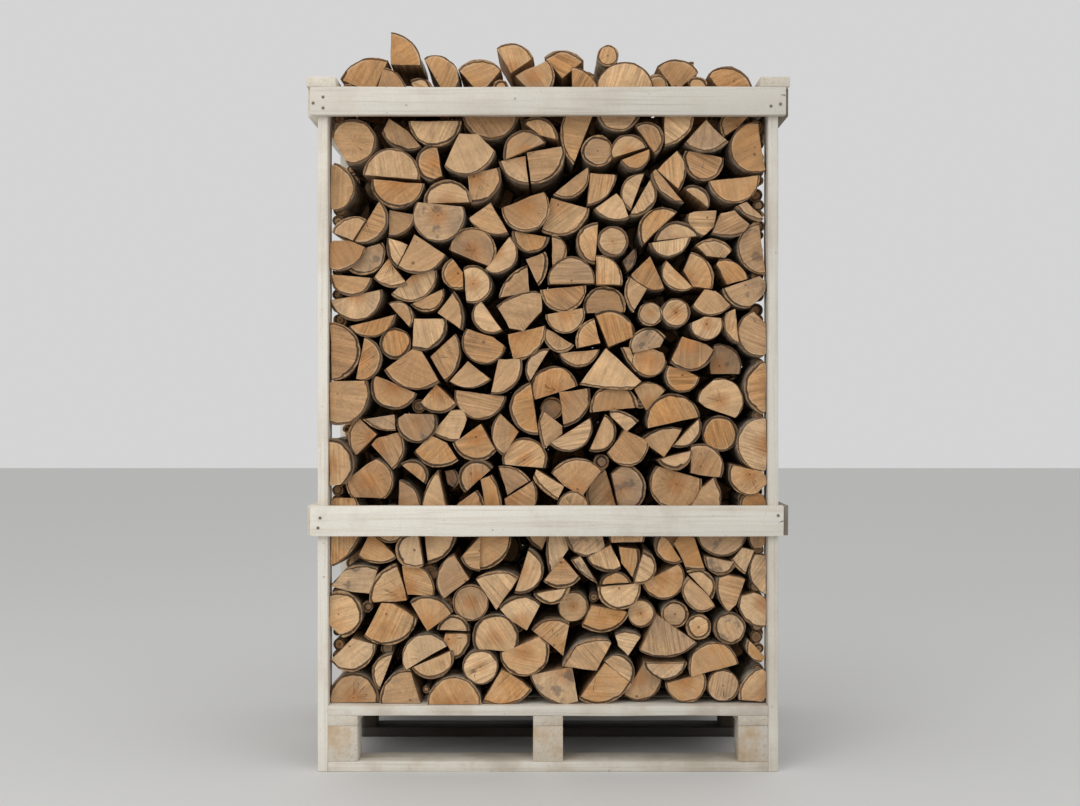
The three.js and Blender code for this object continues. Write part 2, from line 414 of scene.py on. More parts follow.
def bark():
    """Grey-brown birch bark, marked across with short lines."""
    m = Finish("birch_bark")
    place = m.split(m.node("TexCoord").outputs["Object"])
    tone = m.attribute("tone")
    grey = m.split(tone.outputs["Vector"])[2]
    seed = m.sum("MULTIPLY", tone.outputs["Alpha"], 11.0)
    short = m.join(
        m.sum("MULTIPLY", place[0], 30.0),
        m.sum("MULTIPLY_ADD", place[1], 150.0, seed),
        m.sum("MULTIPLY", place[2], 30.0),
    )
    lines = m.noise(short, 1.0, 3.0, 0.6, 0.4)
    patch = m.noise(m.join(place[0], m.sum("ADD", place[1], seed), place[2]), 28.0, 5.0, 0.65)
    flakes = m.noise(m.join(*place), 190.0, 4.0, 0.7)
    skin = m.colours(
        patch,
        (0.30, shade(88, 70, 55)),
        (0.45, shade(142, 122, 101)),
        (0.58, shade(178, 165, 146)),
        (0.72, shade(214, 206, 192)),
    )
    skin = m.blend(m.sum("MULTIPLY", grey, 0.6), skin, shade(138, 132, 122))
    skin = m.blend(m.between(lines, 0.56, 0.66, 0.0, 0.7), skin, shade(58, 42, 30))
    skin = m.blend(m.between(flakes, 0.5, 0.8, 0.0, 0.4), skin, shade(196, 184, 164))
    height = m.sum("SUBTRACT", m.sum("MULTIPLY_ADD", flakes, 0.8, patch), lines)
    return m.finish(skin, 0.78, height, 0.0022)


def timber(axis, worn=False):
    """Sawn spruce, washed pale, with its grain along one axis."""
    m = Finish("crate_timber_" + "xyz"[axis] + ("_end" if worn else ""))
    place = m.split(m.node("TexCoord").outputs["Object"])
    tone = m.attribute("tone")
    value, dirt, warm = m.split(tone.outputs["Vector"])
    seed = m.sum("MULTIPLY", tone.outputs["Alpha"], 13.0)
    stretch = [150.0, 150.0, 150.0]
    if not worn:
        stretch[axis] = 3.4
    grain_place = m.join(
        m.sum("MULTIPLY_ADD", place[0], stretch[0], seed),
        m.sum("MULTIPLY_ADD", place[1], stretch[1], seed),
        m.sum("MULTIPLY", place[2], stretch[2]),
    )
    grain = m.noise(grain_place, 1.0, 3.0, 0.6, 0.5)
    broad = m.noise(m.vector("MULTIPLY", grain_place, (0.2, 0.2, 0.2)), 1.0, 3.0, 0.55, 0.8)
    here = m.vector("ADD", m.join(*place), m.join(seed, seed, 0.0))
    fibres = m.noise(here, 320.0, 3.0, 0.7)
    patch = m.noise(here, 7.0, 4.0, 0.6)
    specks = m.noise(here, 90.0, 2.0, 0.5)
    pale = shade(222, 217, 206)
    dark = shade(204, 197, 183)
    if worn:
        pale = shade(212, 204, 190)
        dark = shade(190, 179, 161)
    wood = m.colours(grain, (0.28, dark), (0.5, pale), (0.8, pale))
    wood = m.blend(m.between(broad, 0.52, 0.68, 0.0, 0.4), wood, shade(206, 194, 174))
    wood = m.blend(m.sum("MULTIPLY", warm, m.between(patch, 0.4, 0.6)), wood, shade(205, 168, 122))
    grime = m.sum("MULTIPLY", dirt, m.between(patch, 0.45, 0.7))
    wood = m.blend(grime, wood, shade(148, 136, 118))
    wood = m.blend(m.between(specks, 0.70, 0.78, 0.0, 0.5), wood, shade(120, 104, 84))
    light = m.sum("MULTIPLY", value, m.sum("MULTIPLY_ADD", fibres, 0.26, 0.87))
    # the crate is painted a little darker towards its right, as painted shade where the lamps' light
    # falls off
    light = m.sum("MULTIPLY", light, m.between(place[0], -0.5, 0.52, 1.04, 0.88))
    wood = m.blend(1.0, wood, m.join(light, light, light), "MULTIPLY")
    # the inside of the pallet, under the deck, is painted near black as painted shade
    deep = m.between(m.sum("ABSOLUTE", place[1]), 0.27, 0.305, 1.0, 0.0)
    deep = m.sum("MULTIPLY", deep, m.between(m.sum("ABSOLUTE", place[0]), 0.44, 0.475, 1.0, 0.0))
    deep = m.sum("MULTIPLY", deep, m.between(place[2], 0.118, 0.13, 0.93, 0.0))
    wood = m.blend(deep, wood, shade(34, 29, 25))
    return m.finish(wood, 0.72)


def steel():
    """Nail heads, dull and a little rusty."""
    m = Finish("nail_steel")
    here = m.node("TexCoord").outputs["Object"]
    rust = m.noise(here, 500.0, 3.0, 0.6)
    colour = m.colours(rust, (0.35, shade(132, 126, 118)), (0.65, shade(112, 92, 74)))
    m.shader.inputs["Metallic"].default_value = 0.4
    return m.finish(colour, 0.6)


LOG_FINISHES = [sawn_end(), split_wood(), bark()]
TIMBER = [timber(axis) for axis in range(3)]
TIMBER_ENDS = [timber(axis, worn=True) for axis in range(3)]
NAIL = steel()


# ---------------------------------------------------------------- firewood

# Each split log by its front outline, in centimetres: how far the bark bulges, the two
# ends of the bark going round with the wood on the left, then the corners of the split
# sides.  A round log has its heart and its radius.  The letters give the look:
# p pale, o orange, g grey, b brown, k dark, + stands out, - sits back, = far back.
# k is a dark tone for logs that sit back in the gaps: painted shade where the stack's shadow falls
FRONT_LOGS = [
    # top row
    ("", 7.6, -41.6, 132.9, -47.7, 139.2, -43.4, 131.6),
    ("", 5.3, -47.8, 122.4, -47.8, 133.4),
    ("", 2.3, -36.7, 140.2, -27.8, 136.8, -30.6, 140.2, -35, 142.8),
    ("", 5.5, -30.6, 142.2, -19, 142.2),
    ("", 5.6, -18.9, 143.8, -6.4, 143.8),
    ("", 6.4, -28.1, 129.4, -40.6, 130.4),
    ("", 5.7, -38.6, 129.3, -27.1, 128.5),
    ("", 2.7, -26.4, 136.8, -26.2, 129.2, -23.3, 130.5, -24.5, 136.6),
    ("", 3.3, -22.8, 132.2, -11.5, 135.5, -15.4, 139.2, -19.4, 139.4),
    ("p", 5.1, -16.8, 124.6, -27.3, 124.2),
    ("", 1.7, 2.2, 138.2, -3.4, 143.1, -4.6, 141.4, -1.8, 139),
    ("", 4.6, -0.4, 137.4, -9.6, 133.6),
    ("+", 1.4, -10.7, 133.3, -4.2, 128.3, -4.9, 134.6),
    ("+", 2.7, -3.7, 128.6, 3.6, 136.8, -4.7, 135.4),
    ("", 1.8, 3.8, 143.8, 5.6, 132.9, 9.9, 143.8),
    ("R", 10.9, 135.8, 3.45),
    ("", 3.9, 10.8, 143.9, 20.3, 143.9),
    ("", 2.8, -17, 124.3, -10.7, 132.2, -17.6, 130.4),
    ("", 3.5, 1.1, 126.2, 8.9, 132.4),
    ("", 1.7, 8.7, 123.7, 14.9, 130.2, 9.3, 130.8),
    ("", 1.3, 10.1, 122.7, 17.8, 120.9, 16.4, 124.8, 15, 126.4),
    ("", 4, 21.8, 136.6, 13.8, 134.2),
    ("", 3.2, 15.9, 133.5, 22.2, 136),
    ("", 4.2, 23.5, 134.9, 19.1, 141.2),
    ("", 1.9, 25.6, 136.6, 32, 143.8, 25.6, 143.8),
    ("g", 1.9, 29.8, 137.2, 39.4, 137.5, 34.6, 142.3),
    ("", 5.8, 30.2, 135.9, 38.8, 134.4),
    ("", 1, 38.6, 143.8, 39, 138.6, 41.3, 140.8, 45.6, 143.8),
    ("", 7, 46, 142, 47.7, 131.4),
    ("", 5.4, 35.4, 129, 46.4, 130.3),
    ("", 1.6, 28.9, 127.1, 28.5, 136, 24, 131.5),
    ("", 1.7, 22.7, 130.6, 29.7, 124.3, 23.6, 131.7),
    ("p", 3.6, 21.2, 131, 18.1, 122.8),
    ("p", 3.5, 17.8, 121.5, 22.7, 129.8),
    ("", 2.6, 35.3, 123.3, 29.8, 127.6),
    ("", 0.9, 41.2, 123.5, 47.8, 120.2, 47.8, 121.5, 46.6, 125.7),
    # second row
    ("", 4.3, -42.5, 115.8, -36.9, 124.9),
    ("", 1.9, -39.8, 120.6, -47.4, 117.6, -42.8, 115.9),
    ("", 1.5, -35.1, 117.1, -28.8, 121.7, -34.9, 122.9),
    ("g", 8.2, -28.8, 124.5, -18.5, 123.2),
    ("", 1.9, -47.9, 109.5, -40, 114.5, -43.5, 116, -47.9, 116),
    ("g", 3.9, -43.9, 109.6, -36.3, 115.7, -39.8, 114.4),
    ("p", 0.9, -35.3, 116.7, -33.3, 110.1, -30.9, 115.1),
    ("", 2.6, -32.9, 110.1, -22.3, 112.8, -29.2, 117.2),
    ("", 1.3, -38.4, 107.8, -31, 106.5, -35, 112),
    ("p", 4.1, -34.5, 104.3, -24.6, 109.6, -29.8, 108.4),
    ("", 4.5, -47.9, 108.6, -38.6, 108),
    ("", 5.7, -47.9, 103, -36.6, 105.4),
    ("", 3.2, -30.2, 102, -22.9, 105.7),
    ("", 2.9, -30.3, 97, -35, 102.3),
    ("o", 1.9, -23.1, 109.8, -18.6, 105.4, -18.6, 109, -21.4, 112.5),
    ("", 1.1, -18.9, 96.4, -20.6, 105, -24.2, 100.2),
    ("b", 4.8, -12.7, 110.4, -20, 117.7, -21.8, 114),
    ("", 5.9, -17.8, 102.6, -18.6, 110),
    ("", 1.6, -17.5, 120.9, -8.7, 117.6, -12.6, 124.4),
    ("", 7, -10.2, 123.1, -0.8, 126.6),
    ("", 3.1, -1.3, 118.2, 9.1, 123.2, 0.8, 125.5),
    ("p", 4.4, -13.9, 109.5, -8.3, 117),
    ("", 4.2, -7.9, 118.3, 0.4, 116.9),
    ("", 3.2, 1, 110.3, 0.9, 117.2),
    ("", 1.2, -2.1, 106.1, -0.6, 113.7, -4.8, 111.9),
    ("b", 1.3, -4.6, 110.6, -10.7, 103.6, -4.1, 104.8),
    ("", 5.9, 10.3, 106.6, 0, 106.4),
    ("", 5.3, -1.7, 105.2, 8.3, 106.2),
    ("", 4.5, 11, 120.1, 10.4, 110.8),
    ("R", 14.2, 115.9, 3.4),
    ("", 2.1, 16.3, 106.4, 10.5, 112.7, 10.6, 106.4),
    ("b", 5.9, 16.9, 100.4, 8, 100.1),
    ("", 4.4, 28.2, 122.3, 20.8, 115.2),
    ("", 3.7, 33.2, 117.2, 23.3, 116),
    ("+", 3.6, 22.1, 115.4, 31.3, 116.8),
    ("", 0.9, 30.6, 121.2, 33.9, 117, 36.5, 119.3, 37, 122.7, 32.2, 122.5),
    ("", 0.5, 35.7, 117.5, 42, 117.1, 44, 119.6, 40.8, 122.5, 37.9, 121.8),
    ("g", 5.5, 46.4, 120.2, 47.8, 108.7),
    ("", 1.7, 40.2, 114.3, 32.3, 115.1, 34.8, 112.7, 38.9, 112.2),
    ("", 2.2, 36, 105.4, 31.4, 113.5, 29.8, 109.5, 31.8, 106),
    ("", 3.6, 25.8, 111.7, 31.6, 105.6),
    ("", 1.5, 18.1, 108.6, 25.7, 105.4, 22.4, 112.6),
    ("-k", 1, 17.6, 109.2, 19.4, 114.6, 16.6, 111.8),
    ("", 1.3, 17.7, 108.2, 18.6, 100.3, 21.6, 105.4),
    ("Rg", 22.4, 99.9, 2.6),
    ("R", 28, 100.2, 3.2),
    ("", 2.1, 31.7, 101.6, 40.2, 101.7, 36.8, 104.9, 34.3, 105.3),
    ("o", 1.5, 44, 107.5, 38, 112, 37.3, 110.4, 39.3, 106.4),
    ("g", 3.5, 38.3, 105.4, 47.8, 104, 47.7, 107.6, 46.8, 108.4),
    # third row
    ("", 3.6, -43.7, 97.2, -33.4, 99.8),
    ("", 6.4, -47.4, 85.3, -47.8, 98.1),
    ("", 2.9, -39.6, 85.4, -39, 94.5, -40.3, 94.3, -42.1, 85.7),
    ("Ro", -33.5, 93.5, 3.4),
    ("", 2.2, -27.9, 91.9, -22.3, 98.8, -29.4, 98.9, -29.8, 92.3),
    ("", 2.2, -22.7, 85, -20.3, 95.7, -26, 90.6),
    ("", 2.9, -35.9, 87.6, -23.7, 85.1, -27.6, 91.6, -29.8, 92),
    ("", 5.7, -38.3, 86.6, -28.9, 82.5),
    ("", 3.9, -47.9, 75.8, -39.7, 85.2, -47.9, 85.2),
    ("", 2, -28.2, 80.1, -20, 80.1, -24.6, 84.4),
    ("", 5.8, -20.6, 83.3, -9.2, 81.8),
    ("", 1.7, -21.7, 85.1, -12.5, 85.5, -17.6, 89.6),
    ("", 6, -17.8, 96.8, -9.3, 92.8, -12, 94.8),
    ("p", 3.6, -15.9, 102.3, -10.1, 96.3, -14.6, 102.6),
    ("", 0.8, -3, 105, -11.3, 101.6, -8.5, 97, -5.4, 96.3, -1.3, 100.6, -1.5, 104.2),
    ("", 4.8, -0.5, 99.7, 7.9, 101.2),
    ("", 1.6, -5.4, 90, -0.6, 97.4, -8.7, 95.4, -7.7, 90.1),
    ("", 3.4, -0.5, 96.8, 5.8, 93.1),
    ("", 1.7, 10.1, 99, 6.3, 92.4, 11.6, 93.5),
    ("", 3.4, 2.5, 91.2, 11.4, 92.3),
    ("p", 1.8, -1, 92.4, -4.6, 85.9, -3.7, 85.6, 0, 91.7),
    ("", 2.5, -12.5, 82.3, -5.8, 89.8, -10.9, 90),
    ("o", 5.4, -3.9, 84.9, -2.1, 73.4),
    ("", 6, 6.6, 84.2, -3.4, 81),
    ("b", 2.3, 3.5, 75.1, 9.1, 83.7, 2.5, 82.8),
    ("p", 0.3, 7, 84.4, 18.8, 83.3, 20.6, 84.9, 12.7, 92.4),
    ("o", 3, 19.2, 95.1, 10.3, 99.9, 13.3, 92.7),
    ("", 5.6, 19.9, 79.4, 9.3, 78.4),
    ("g", 2.6, 25.6, 95, 17.9, 93.4, 18.7, 91.4, 24.4, 92.8),
    ("", 3.3, 18.4, 89.4, 26, 89.3, 25, 91.3, 22.6, 92, 18.7, 91.3),
    ("+", 0.2, 16, 92.4, 18.6, 87.9, 19.6, 88.4, 17.8, 92.6),
    ("-", 1.6, 25.8, 83.3, 18.9, 83.6, 21.7, 78.8),
    ("", 3.3, 26.9, 89.2, 37, 92.5, 34.8, 93.2, 30.3, 96.9),
    ("", 4.1, 31.2, 97.6, 38.1, 98.8, 34.2, 99.2),
    ("", 1.4, 38.9, 100, 41.3, 93.6, 41.8, 94, 41, 101),
    ("", 2.4, 41.6, 96.8, 47.9, 90.6, 47.8, 98.5, 46.8, 102.8, 42, 99.6),
    ("-k", 2.7, 42.5, 86.8, 36.8, 93.4, 35.9, 89, 36, 86.8),
    ("", 3.4, 25.6, 86.3, 33.3, 85.9, 29.6, 87.7, 26.5, 88.6),
    ("", 3.8, 41.4, 77, 37, 85.7, 32.1, 81.7, 34.5, 79.6),
    ("", 4.8, 47.9, 90, 47.9, 77.6),
    ("o", 6.3, 33.3, 77.4, 21.8, 74.9),
    # fourth row, down to the middle rail
    ("", 3.6, -44.5, 62.6, -47.9, 72.8, -47.9, 62.2),
    ("", 1.9, -41.8, 77.2, -42.4, 68.8, -37.8, 73.5),
    ("g", 1, -40.6, 76.8, -33.4, 74.3, -33.8, 77.9),
    ("gk", 5, -33.2, 76.4, -24.4, 76.9, -26, 78, -31.4, 78),
    ("p", 0.4, -25.5, 73.7, -19.7, 71.8, -17.9, 76.8, -18.7, 79, -21.3, 78.8),
    ("", 2.6, -35.8, 59.4, -37.6, 68.2, -41.3, 65.7, -47.9, 60.7, -47.7, 60),
    ("b", 1.7, -34, 65.9, -32.7, 74.1, -37.2, 72.8, -38.8, 71.2),
    ("o", 2.2, -29.4, 69.5, -19.7, 67.7, -22.3, 71.6, -25.7, 73.3),
    ("+", 3, -26.8, 62.8, -32.4, 67),
    ("b", 1.9, -28.1, 56, -32.7, 63.5, -32.8, 56),
    ("p", 1.1, -24.2, 65.6, -27.6, 56.4, -22.2, 56.4),
    ("", 1.7, -38, 51.6, -31.4, 51.2, -32.9, 57.5, -33.6, 61.3, -38.9, 57.6),
    ("o", 3.1, -20.9, 71.5, -11.4, 69.9, -14.8, 75.7),
    ("b", 3.6, -13.8, 67.6, -18.2, 60.8, -12.6, 65.9),
    ("", 2.2, -10.6, 78.2, -9.9, 68.8, -6.3, 74.1),
    ("", 6.4, -0.6, 66, -10, 66.9),
    ("", 1, -1.3, 79, -0.9, 70.5, 3.1, 73.8, 3.2, 75.2),
    ("", 4.5, 0.3, 71.5, 9.3, 77.2),
    ("-", 4.2, 9, 69.8, 12.6, 77.9),
    ("", 2.9, 11.8, 65.7, 0.7, 65, 3.6, 62.1, 7.5, 60),
    ("b", 1.2, -4, 63.4, -10.9, 66.4, -8.9, 60.2),
    ("+", 0.6, -3.2, 63.8, 2.1, 59.1, 3.5, 62.1, -2.6, 65.8),
    ("", 1.5, -4.5, 55.5, -3.3, 63.2, -9.5, 59.3, -9.4, 55.5),
    ("o", 0.8, -10.2, 56.2, -12.6, 64.6, -14.8, 63.8, -13.5, 56.2),
    ("", 0.5, -13.8, 56.5, -15.7, 61.5, -20, 58.3, -19.5, 56.5),
    ("R", 5.5, 57.6, 3.45),
    ("-", 2.2, 12.6, 65.8, 9.2, 57, 15.3, 57),
    ("g", 3.3, 19.5, 57.2, 16.9, 67, 14, 64.8, 15.7, 57.2),
    ("", 3.4, 13.1, 69.2, 22, 70.9, 20, 72.9, 16.8, 74.4),
    ("", 0.6, 20, 76.5, 14, 79, 14.2, 77.2, 17.2, 74.2),
    ("", 1.3, 29.7, 74.8, 20.4, 72.4, 25.6, 68.4),
    ("p", 2.8, 27.5, 70.8, 33.2, 77.1),
    ("Ro", 37.9, 73.7, 3.95),
    ("", 6.4, 47.8, 77.3, 47.8, 65.3),
    ("b", 3.1, 37.9, 64.1, 32, 71.3, 31.3, 70, 31.2, 65),
    ("p", 3.2, 23.9, 67.9, 31.6, 70),
    ("", 8.4, 23.9, 66.6, 33.8, 63.7),
    ("", 0.9, 37.6, 56.6, 36.5, 64.1, 33.6, 61.8, 30.9, 57),
    ("", 4.2, 40, 66.9, 47.8, 61.9, 47.8, 65.2),
    ("=k", 0.8, -20.6, 61.5, -20.4, 65.3, -22.9, 65.2, -22.3, 62.5),
    # fifth row, under the middle rail
    ("", 3.5, -47.6, 44.3, -42.3, 59.5, -47.7, 59.5),
    ("", 1.6, -41.5, 46.8, -33, 46.7, -37.6, 50.9, -38.9, 52.4),
    ("", 5, -29.5, 52.3, -27.3, 44.7, -28.6, 52.6),
    ("p", 2.3, -26.4, 45, -20.1, 53.5, -25.4, 56.2, -27.6, 55.6),
    ("pg", 2, -37.3, 44.1, -47.9, 41, -47.9, 39.6, -43, 39, -39.4, 38.2),
    ("", 2, -33.4, 45, -39.2, 36.6, -31, 37, -31.9, 40.5),
    ("o", 2.7, -25.1, 38.1, -32.1, 44.9, -31.4, 40.5, -30.8, 38.3),
    ("", 2.5, -20.8, 47.3, -23, 37.4, -17.3, 41.9),
    ("", 4, -15.3, 43.8, -9.4, 55.3, -14.6, 55.6),
    ("o", 0.6, -19, 46.4, -15.5, 43.7, -14.9, 44.5, -14.8, 51.5, -15.6, 50.4),
    ("g", 3.4, 3.6, 52, 12.6, 48.4, 11.4, 53.6, 4.6, 53.6),
    ("-", 0.6, -5.2, 52, -1.6, 47.8, -0.3, 51.3, -0.3, 55.4, -5, 55.4),
    ("", 4.8, -7.3, 38.8, -4.2, 48.4),
    ("", 1.5, -6.4, 42.2, -15.7, 41.9, -11.3, 35),
    ("", 0.9, 0.6, 54.5, 0.3, 43.3, 2, 45.3, 4.5, 48.4, 3.4, 53.6),
    ("", 1.8, -1, 41.3, 7.2, 41.9, 3.1, 46.6),
    ("pg", 0.6, 5, 46, 10.9, 40.7, 7.1, 46.8),
    ("", 1.6, 8.3, 46.3, 16.1, 44, 15.8, 45.3, 13.8, 49.3),
    ("", 3.6, 21.1, 51.4, 13.4, 51.6, 13.6, 49.7, 20.8, 50.1),
    ("p", 2.9, -3.4, 38.5, 4.9, 39.9),
    ("p", 2.2, -1.5, 36.3, -10.8, 35.5, -7.8, 32.3, -4.7, 30.6),
    ("o", 2.6, 18.3, 41, 11.3, 40.4),
    ("", 5.3, 10.9, 39.9, 20.2, 40.8),
    ("o", 0.5, 18.9, 41.8, 20.1, 48.2, 15.6, 48.8, 16.2, 45.2),
    ("", 2.1, 22.3, 41.5, 21, 48.2, 20.2, 45.2, 18.9, 41, 19.4, 40.7),
    ("o", 2.9, 24.3, 51.6, 28.8, 45.2, 29.1, 46.2, 26.2, 50.4),
    ("-k", 2.3, 25.2, 50.6, 30.4, 50.8, 30, 54, 25.6, 54),
    ("", 0.1, 30.4, 44.1, 34.5, 43.8, 32.2, 50.9, 29, 51.5, 27.7, 49.5),
    ("g", 4.4, 32.6, 51.2, 43.7, 51, 41.8, 55.2, 35, 55.5),
    ("g", 3.5, 34.3, 46.8, 41.3, 45.4),
    ("", 0.3, 40.3, 45.9, 43.3, 42.8, 45.4, 48, 42.6, 48.5),
    ("", 2.5, 45.6, 47.5, 47.9, 38.2, 47.9, 47.3),
    ("b", 0.5, 44, 54.5, 44.7, 48.7, 47.9, 48.6, 47.9, 54.5),
    ("", 3.4, 47.9, 60.1, 43, 55.5, 47.9, 55.5),
    ("", 5.9, 20.7, 40.8, 28.9, 45.1),
    ("", 3.4, 36.1, 37.2, 30.4, 43.4),
    ("", 4.4, 30.7, 42.3, 36.9, 36.1, 35.9, 37.5),
    ("", 1, 37.1, 42, 39.4, 34.5, 41.2, 36.1, 43.2, 41.7, 39.6, 42.6),
    ("", 2.4, 42, 37.9, 47.9, 31.1, 47.9, 37.9, 45, 38.6),
    # bottom rows
    ("", 5, -46, 28.8, -45.5, 39.2, -47.9, 39, -47.9, 31),
    ("o", 3.8, -40.3, 29.3, -28.8, 33.2, -30, 34, -34, 36.2, -36.7, 36.4),
    ("", 2.2, -20.9, 34.6, -30.3, 36.8, -26.4, 30.4),
    ("R", -17, 36.4, 4.05),
    ("b", 3.4, -17.3, 30.2, -24.3, 30.6),
    ("", 0.8, -19.2, 24.8, -17.3, 29.6, -22.6, 29.7, -22.8, 28.3, -20.4, 24.9),
    ("", 2.7, -46, 22, -38, 27.2, -43.6, 28.8, -47.9, 24.6, -47.9, 23.1),
    ("", 3.1, -34.1, 25.4, -37.1, 17.4),
    ("", 5.3, -22.1, 27.2, -31.4, 21.7),
    ("", 4.4, -29.9, 22.3, -20.9, 26.2),
    ("", 4.8, -37.2, 14.7, -47.9, 18, -47.9, 14.5),
    ("b", 2.2, -30.2, 21.9, -36.9, 14.6, -36, 14.5, -28, 14.5),
    ("o", 6, -14.7, 14.5, -26.4, 14.5),
    ("", 7.9, -7.6, 25.8, -15.9, 26.6),
    ("", 5.6, -10.6, 25.5, 0.3, 26.8, -2.3, 28.9),
    ("o", 1.8, 4.8, 31.8, -3.6, 30.4, 3.3, 24.8),
    ("b", 1.9, 12, 28.8, 3.3, 23.1, 5, 22.6, 10.7, 21.7, 13.8, 27.8),
    ("o", 2.7, 7.6, 31.2, 18.2, 34.6, 16.4, 34.9, 10.6, 37.7, 9.1, 34.3),
    ("R-", 5.6, 35.3, 3.4),
    ("o", 1.9, -14.2, 14.9, -3.7, 17.2, -6.5, 19.8, -10.1, 22, -10.9, 21),
    ("pg", 2.8, -4, 20.7, 6.6, 14.6, 5.2, 22.5),
    ("o", 2.7, 6.9, 15.5, 18.2, 18.8, 12.4, 23.5),
    ("", 3.8, 18.3, 19, 12.1, 23.9),
    ("p", 0.9, 20.5, 29.2, 14.7, 29.6, 15.4, 27.1, 17.6, 25.2),
    ("R-", 20.5, 34, 3.05),
    ("b+", 2.2, 20.1, 26.2, 32.5, 27.9, 23.9, 33.9),
    ("R", 27.9, 34, 2.95),
    ("R", 33, 31.3, 2.75),
    ("Rg", 39.9, 30.9, 3.55),
    ("pg", 3.9, 20.9, 23.6, 30.3, 23.6),
    ("o", 6.2, 41.8, 23.2, 31.3, 20.2),
    ("o", 2.9, 45.1, 29.7, 47.9, 23.4, 47.9, 25.4),
    ("b", 2.7, 16.7, 15.9, 25.1, 19.3, 21, 22.9),
    ("o", 5.5, 25.8, 18.9, 34.4, 21.1),
    ("Rb", 38.5, 18.2, 3.55),
    ("", 1.8, 47.9, 22.3, 42, 15.9, 42.2, 15.3, 47.9, 14.7),
    ("Rp", -14.8, 22.5, 3.95),
    # thin logs that only show deep in the gaps
    ("R=k", 0.8, 79.2, 2.5),
    ("R=k", 11.8, 67.4, 1.7),
    ("R=k", 20.4, 80.6, 1.4),
    ("R=k", -2.4, 86.4, 1.3),
    ("R=k", -28.6, 79.7, 1.5),
    ("R=k", -26.2, 42.8, 1.9),
    ("R=k", -22.2, 36.2, 1.4),
    ("R=k", -40.1, 35.2, 1.2),
    ("R=g", -35.6, 26, 1.5),
    ("R=k", -44.6, 74.6, 0.9),
    ("R=k", 10.2, 37.2, 1.1),
    ("R=k", 46.6, 29.4, 1.2),
    ("R=g", -27, 16.9, 0.8),
    ("R=k", -6.6, 30.6, 1.2),
    ("R=k", 43.3, 59.2, 1.3),
]


def thin_logs(way, low, high, open_gaps):
    """A column of thin logs at the side of the stack, behind the faces."""
    z = low
    while z < high:
        radius = rng.uniform(0.9, 1.6)
        if not any(bottom < z < top for bottom, top in open_gaps):
            # the dark k tone on these far-back logs is painted shade
            FRONT_LOGS.append((rng.choice(["R=k", "R=b", "R="]), way * (47.75 - radius), z, radius))
        z += radius * 2


thin_logs(1, 15.8, 147, [])
thin_logs(-1, 24.5, 147, [(40, 50), (72, 77), (115, 119), (131.5, 141)])

TONES = {
    "p": (0.85, 0.1, 0.15),
    "o": (0.3, 0.95, 0.0),
    "g": (0.45, 0.0, 0.9),
    "b": (0.1, 0.1, 0.6),
    # k: painted shade for logs deep in the gaps
    "k": (0.0, 0.1, 0.9),
}
CLOUD_LOG = cloud("log_lumps", 0.045, 2)
CLOUD_SPLINTER = cloud("log_splinters", 0.011, 1)
FRONT_FACE = -0.369
BACK_FACE = -0.125


def heart_of(bulge, ax, az, bx, bz):
    """The heart of the log that this bark was split from, and its radius."""
    wide = math.hypot(bx - ax, bz - az)
    radius = (wide * wide / 4 + bulge * bulge) / (2 * bulge)
    out_x = (bz - az) / wide
    out_z = -(bx - ax) / wide
    return (
        (ax + bx) / 2 + out_x * (bulge - radius),
        (az + bz) / 2 + out_z * (bulge - radius),
        radius,
    )


def look_of(letters):
    """How pale, orange and grey the log is, and its own number."""
    look = [rng.uniform(0.1, 0.75), max(0.0, rng.uniform(-0.3, 0.7)), max(0.0, rng.uniform(-0.2, 0.5))]
    for letter, tone in TONES.items():
        if letter in letters:
            look = [0.25 * a + 0.75 * b for a, b in zip(look, tone)]
    return tuple(look) + (rng.random(),)


